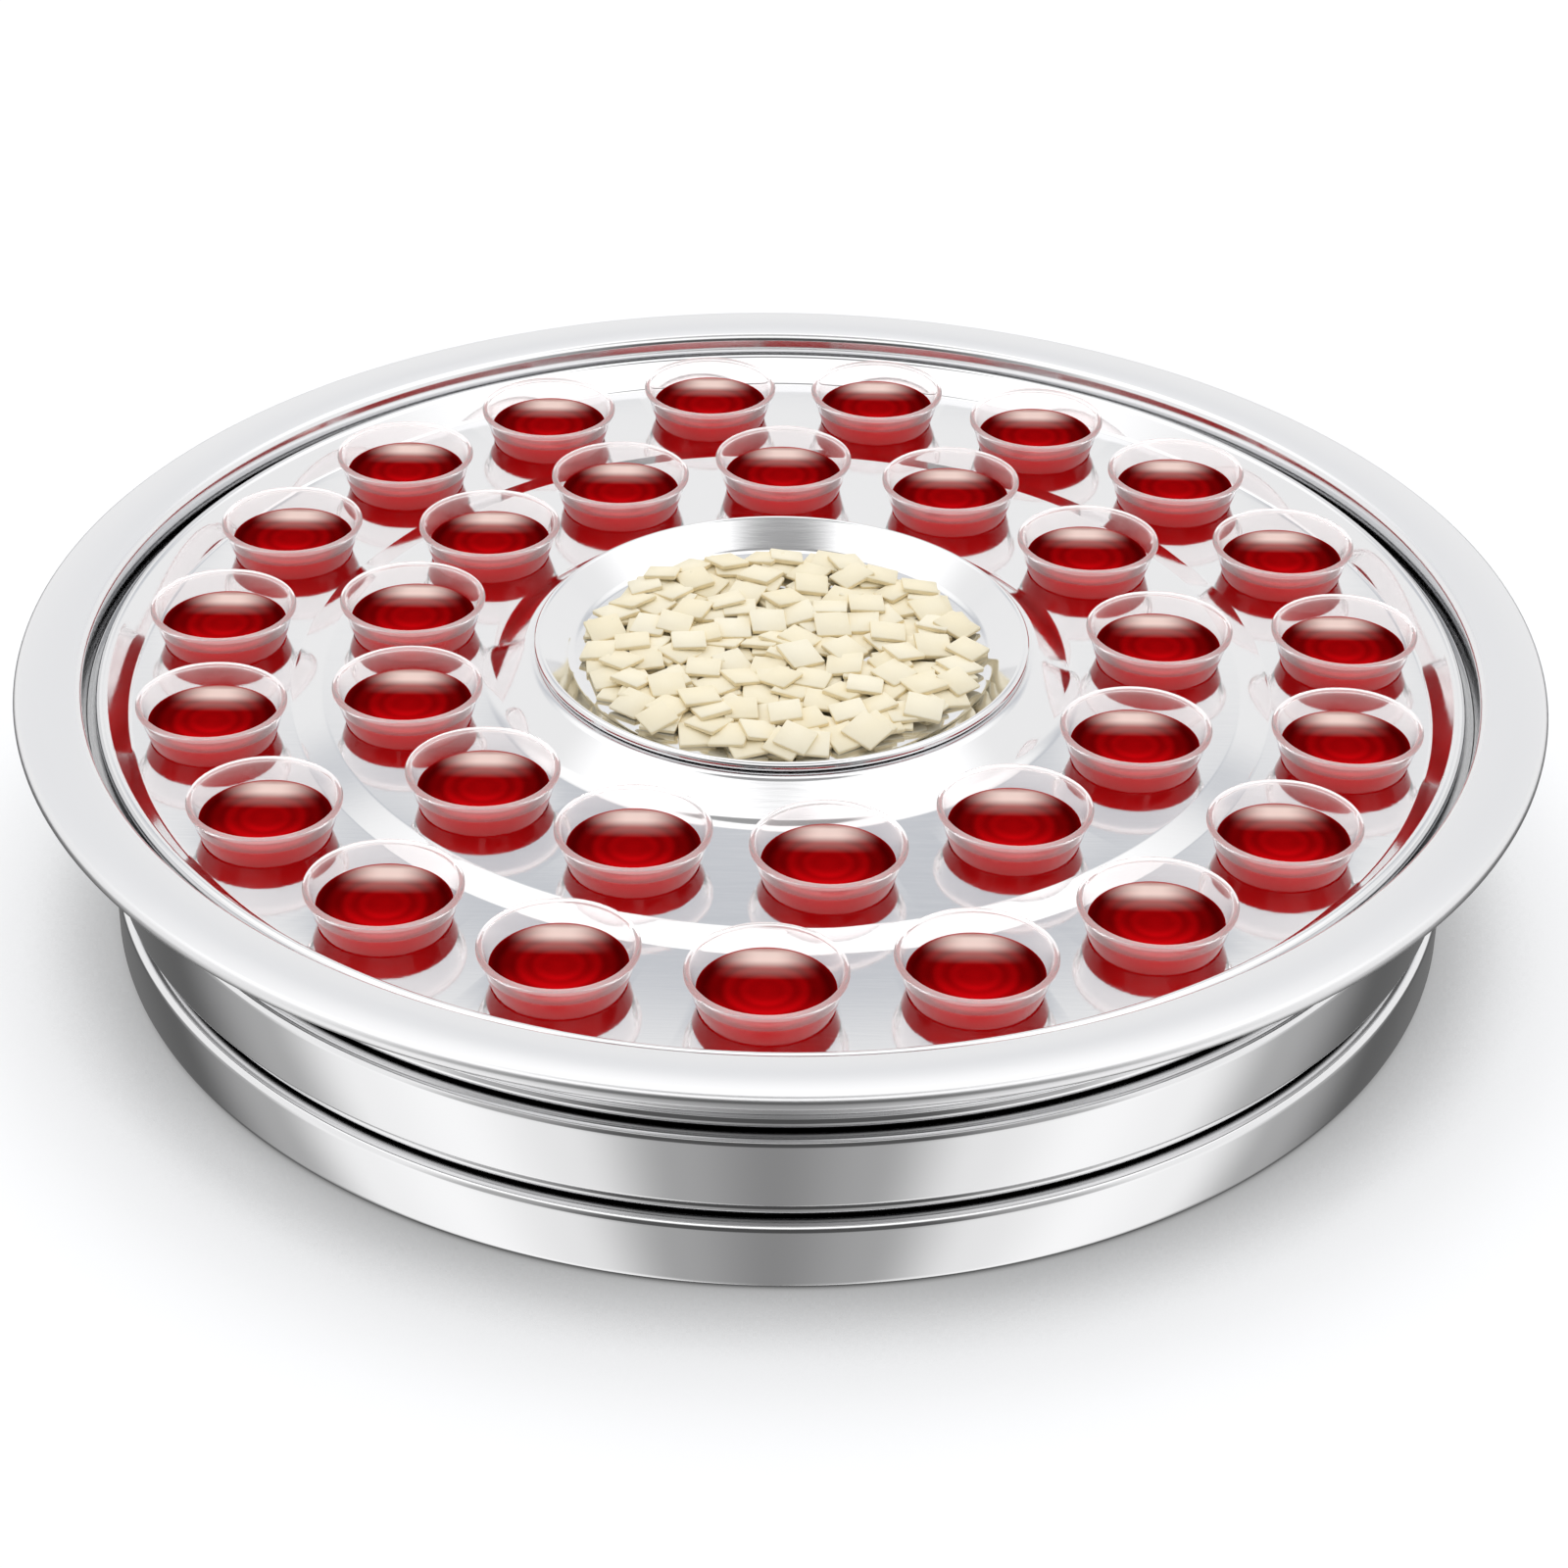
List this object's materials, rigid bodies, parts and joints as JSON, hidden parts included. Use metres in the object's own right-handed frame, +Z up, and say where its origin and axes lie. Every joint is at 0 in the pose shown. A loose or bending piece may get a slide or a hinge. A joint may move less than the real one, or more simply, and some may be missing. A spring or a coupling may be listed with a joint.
{
  "type": "communion cup tray",
  "caption": "Round polished steel communion tray on a stacking base, with a lift-in plate that holds rings of small clear cups round a shallow bread dish.",
  "frame": {"origin": "centre of the base's underside, on the table", "axes": "+Z up along the middle of the stack, -Y towards the viewer of the picture, +X to their right"},
  "size_m": [0.32, 0.32, 0.0599],
  "materials": {
    "polished_steel": "polished",
    "clear_cup": "clear, gloss",
    "bread": "matt"
  },
  "bodies": {
    "base_pan": {"base_pan": "polished_steel"},
    "stacking_ring": {"stacking_ring": "polished_steel"},
    "tray_pan": {"tray_pan": "polished_steel"},
    "cup_plate": {"cup_plate": "polished_steel"},
    "bread_dish": {"bread_dish": "polished_steel", "bread_squares": "bread"},
    "cup_outer_01": {"cup_outer_01": "clear_cup"},
    "cup_outer_02": {"cup_outer_02": "clear_cup"},
    "cup_outer_03": {"cup_outer_03": "clear_cup"},
    "cup_outer_04": {"cup_outer_04": "clear_cup"},
    "cup_outer_05": {"cup_outer_05": "clear_cup"},
    "cup_outer_06": {"cup_outer_06": "clear_cup"},
    "cup_outer_07": {"cup_outer_07": "clear_cup"},
    "cup_outer_08": {"cup_outer_08": "clear_cup"},
    "cup_outer_09": {"cup_outer_09": "clear_cup"},
    "cup_outer_10": {"cup_outer_10": "clear_cup"},
    "cup_outer_11": {"cup_outer_11": "clear_cup"},
    "cup_outer_12": {"cup_outer_12": "clear_cup"},
    "cup_outer_13": {"cup_outer_13": "clear_cup"},
    "cup_outer_14": {"cup_outer_14": "clear_cup"},
    "cup_outer_15": {"cup_outer_15": "clear_cup"},
    "cup_outer_16": {"cup_outer_16": "clear_cup"},
    "cup_outer_17": {"cup_outer_17": "clear_cup"},
    "cup_outer_18": {"cup_outer_18": "clear_cup"},
    "cup_outer_19": {"cup_outer_19": "clear_cup"},
    "cup_inner_01": {"cup_inner_01": "clear_cup"},
    "cup_inner_02": {"cup_inner_02": "clear_cup"},
    "cup_inner_03": {"cup_inner_03": "clear_cup"},
    "cup_inner_04": {"cup_inner_04": "clear_cup"},
    "cup_inner_05": {"cup_inner_05": "clear_cup"},
    "cup_inner_06": {"cup_inner_06": "clear_cup"},
    "cup_inner_07": {"cup_inner_07": "clear_cup"},
    "cup_inner_08": {"cup_inner_08": "clear_cup"},
    "cup_inner_09": {"cup_inner_09": "clear_cup"},
    "cup_inner_10": {"cup_inner_10": "clear_cup"},
    "cup_inner_11": {"cup_inner_11": "clear_cup"},
    "cup_inner_12": {"cup_inner_12": "clear_cup"},
    "cup_inner_13": {"cup_inner_13": "clear_cup"}
  },
  "joints": [
    {"name": "ring_lift", "type": "slide", "parent": "base_pan", "child": "stacking_ring", "axis": [0, 0, 1], "range_m": [0, 0.03]},
    {"name": "tray_lift", "type": "slide", "parent": "stacking_ring", "child": "tray_pan", "axis": [0, 0, 1], "range_m": [0, 0.05]},
    {"name": "plate_lift", "type": "slide", "parent": "tray_pan", "child": "cup_plate", "axis": [0, 0, 1], "range_m": [0, 0.06]},
    {"name": "dish_lift", "type": "slide", "parent": "cup_plate", "child": "bread_dish", "axis": [0, 0, 1], "range_m": [0, 0.03]},
    {"name": "cup_outer_01_lift", "type": "slide", "parent": "cup_plate", "child": "cup_outer_01", "axis": [0, 0, 1], "range_m": [0, 0.045]},
    {"name": "cup_outer_02_lift", "type": "slide", "parent": "cup_plate", "child": "cup_outer_02", "axis": [0, 0, 1], "range_m": [0, 0.045]},
    {"name": "cup_outer_03_lift", "type": "slide", "parent": "cup_plate", "child": "cup_outer_03", "axis": [0, 0, 1], "range_m": [0, 0.045]},
    {"name": "cup_outer_04_lift", "type": "slide", "parent": "cup_plate", "child": "cup_outer_04", "axis": [0, 0, 1], "range_m": [0, 0.045]},
    {"name": "cup_outer_05_lift", "type": "slide", "parent": "cup_plate", "child": "cup_outer_05", "axis": [0, 0, 1], "range_m": [0, 0.045]},
    {"name": "cup_outer_06_lift", "type": "slide", "parent": "cup_plate", "child": "cup_outer_06", "axis": [0, 0, 1], "range_m": [0, 0.045]},
    {"name": "cup_outer_07_lift", "type": "slide", "parent": "cup_plate", "child": "cup_outer_07", "axis": [0, 0, 1], "range_m": [0, 0.045]},
    {"name": "cup_outer_08_lift", "type": "slide", "parent": "cup_plate", "child": "cup_outer_08", "axis": [0, 0, 1], "range_m": [0, 0.045]},
    {"name": "cup_outer_09_lift", "type": "slide", "parent": "cup_plate", "child": "cup_outer_09", "axis": [0, 0, 1], "range_m": [0, 0.045]},
    {"name": "cup_outer_10_lift", "type": "slide", "parent": "cup_plate", "child": "cup_outer_10", "axis": [0, 0, 1], "range_m": [0, 0.045]},
    {"name": "cup_outer_11_lift", "type": "slide", "parent": "cup_plate", "child": "cup_outer_11", "axis": [0, 0, 1], "range_m": [0, 0.045]},
    {"name": "cup_outer_12_lift", "type": "slide", "parent": "cup_plate", "child": "cup_outer_12", "axis": [0, 0, 1], "range_m": [0, 0.045]},
    {"name": "cup_outer_13_lift", "type": "slide", "parent": "cup_plate", "child": "cup_outer_13", "axis": [0, 0, 1], "range_m": [0, 0.045]},
    {"name": "cup_outer_14_lift", "type": "slide", "parent": "cup_plate", "child": "cup_outer_14", "axis": [0, 0, 1], "range_m": [0, 0.045]},
    {"name": "cup_outer_15_lift", "type": "slide", "parent": "cup_plate", "child": "cup_outer_15", "axis": [0, 0, 1], "range_m": [0, 0.045]},
    {"name": "cup_outer_16_lift", "type": "slide", "parent": "cup_plate", "child": "cup_outer_16", "axis": [0, 0, 1], "range_m": [0, 0.045]},
    {"name": "cup_outer_17_lift", "type": "slide", "parent": "cup_plate", "child": "cup_outer_17", "axis": [0, 0, 1], "range_m": [0, 0.045]},
    {"name": "cup_outer_18_lift", "type": "slide", "parent": "cup_plate", "child": "cup_outer_18", "axis": [0, 0, 1], "range_m": [0, 0.045]},
    {"name": "cup_outer_19_lift", "type": "slide", "parent": "cup_plate", "child": "cup_outer_19", "axis": [0, 0, 1], "range_m": [0, 0.045]},
    {"name": "cup_inner_01_lift", "type": "slide", "parent": "cup_plate", "child": "cup_inner_01", "axis": [0, 0, 1], "range_m": [0, 0.045]},
    {"name": "cup_inner_02_lift", "type": "slide", "parent": "cup_plate", "child": "cup_inner_02", "axis": [0, 0, 1], "range_m": [0, 0.045]},
    {"name": "cup_inner_03_lift", "type": "slide", "parent": "cup_plate", "child": "cup_inner_03", "axis": [0, 0, 1], "range_m": [0, 0.045]},
    {"name": "cup_inner_04_lift", "type": "slide", "parent": "cup_plate", "child": "cup_inner_04", "axis": [0, 0, 1], "range_m": [0, 0.045]},
    {"name": "cup_inner_05_lift", "type": "slide", "parent": "cup_plate", "child": "cup_inner_05", "axis": [0, 0, 1], "range_m": [0, 0.045]},
    {"name": "cup_inner_06_lift", "type": "slide", "parent": "cup_plate", "child": "cup_inner_06", "axis": [0, 0, 1], "range_m": [0, 0.045]},
    {"name": "cup_inner_07_lift", "type": "slide", "parent": "cup_plate", "child": "cup_inner_07", "axis": [0, 0, 1], "range_m": [0, 0.045]},
    {"name": "cup_inner_08_lift", "type": "slide", "parent": "cup_plate", "child": "cup_inner_08", "axis": [0, 0, 1], "range_m": [0, 0.045]},
    {"name": "cup_inner_09_lift", "type": "slide", "parent": "cup_plate", "child": "cup_inner_09", "axis": [0, 0, 1], "range_m": [0, 0.045]},
    {"name": "cup_inner_10_lift", "type": "slide", "parent": "cup_plate", "child": "cup_inner_10", "axis": [0, 0, 1], "range_m": [0, 0.045]},
    {"name": "cup_inner_11_lift", "type": "slide", "parent": "cup_plate", "child": "cup_inner_11", "axis": [0, 0, 1], "range_m": [0, 0.045]},
    {"name": "cup_inner_12_lift", "type": "slide", "parent": "cup_plate", "child": "cup_inner_12", "axis": [0, 0, 1], "range_m": [0, 0.045]},
    {"name": "cup_inner_13_lift", "type": "slide", "parent": "cup_plate", "child": "cup_inner_13", "axis": [0, 0, 1], "range_m": [0, 0.045]}
  ]
}
